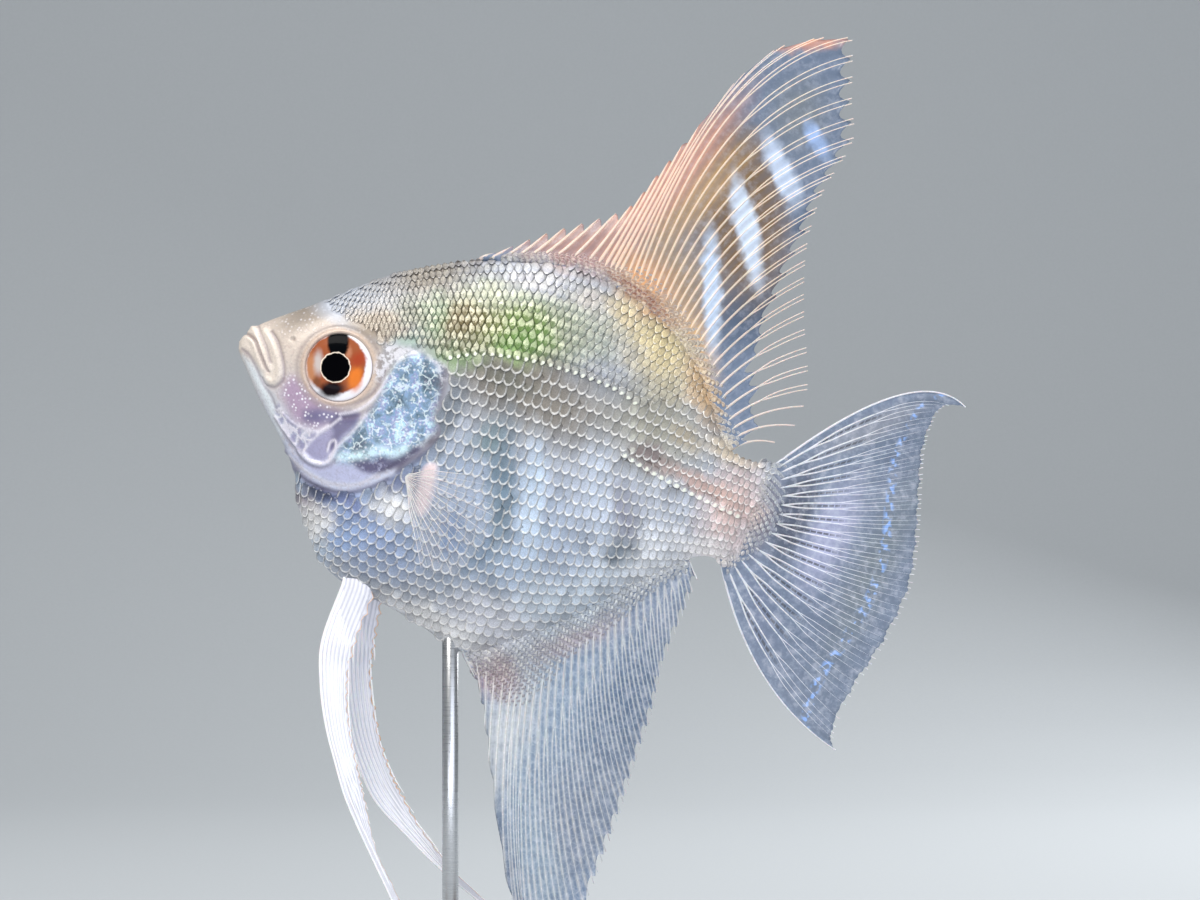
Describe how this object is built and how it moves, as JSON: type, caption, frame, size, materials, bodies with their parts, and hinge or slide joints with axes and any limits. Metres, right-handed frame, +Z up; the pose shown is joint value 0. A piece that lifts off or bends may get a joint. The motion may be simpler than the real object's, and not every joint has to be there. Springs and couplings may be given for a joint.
{
  "type": "freshwater angelfish display model",
  "caption": "Life-size still model of an adult freshwater angelfish, a tall thin-bodied fish with long fins, pitched nose-up on a rod over a flat wooden base.",
  "frame": {"origin": "centre of the underside of the stand's base", "axes": "+Z up; the fish faces -X with its nose pitched 18 degrees up, and its left flank faces -Y"},
  "size_m": [0.1262, 0.06, 0.1747],
  "materials": {
    "scaled_skin": "satin cast resin, painted silver-grey under a clear coat",
    "face_skin": "satin cast resin, painted cream and mauve under a clear coat",
    "gill_skin": "satin cast resin, painted blue-green with a pearl glaze",
    "lip_skin": "satin cast resin, painted pale cream",
    "fin_membrane": "clear tinted film between raised rays",
    "eye_gloss": "polished glass eye, amber iris",
    "dark_wood": "oiled walnut, satin",
    "steel": "brushed stainless steel"
  },
  "bodies": {
    "root": {"head": "face_skin", "jaw_upper": "lip_skin", "jaw_lower": "lip_skin", "gill_cover_left": "gill_skin", "gill_cover_right": "gill_skin", "trunk": "scaled_skin", "tail_stem": "scaled_skin", "fin_dorsal": "fin_membrane", "fin_anal": "fin_membrane", "fin_tail": "fin_membrane", "fin_pelvic_left": "fin_membrane", "fin_pelvic_right": "fin_membrane", "fin_pectoral_left": "fin_membrane", "fin_pectoral_right": "fin_membrane", "eye_left": "eye_gloss", "eye_right": "eye_gloss", "stand_base": "dark_wood", "stand_rod": "steel"}
  },
  "joints": []
}
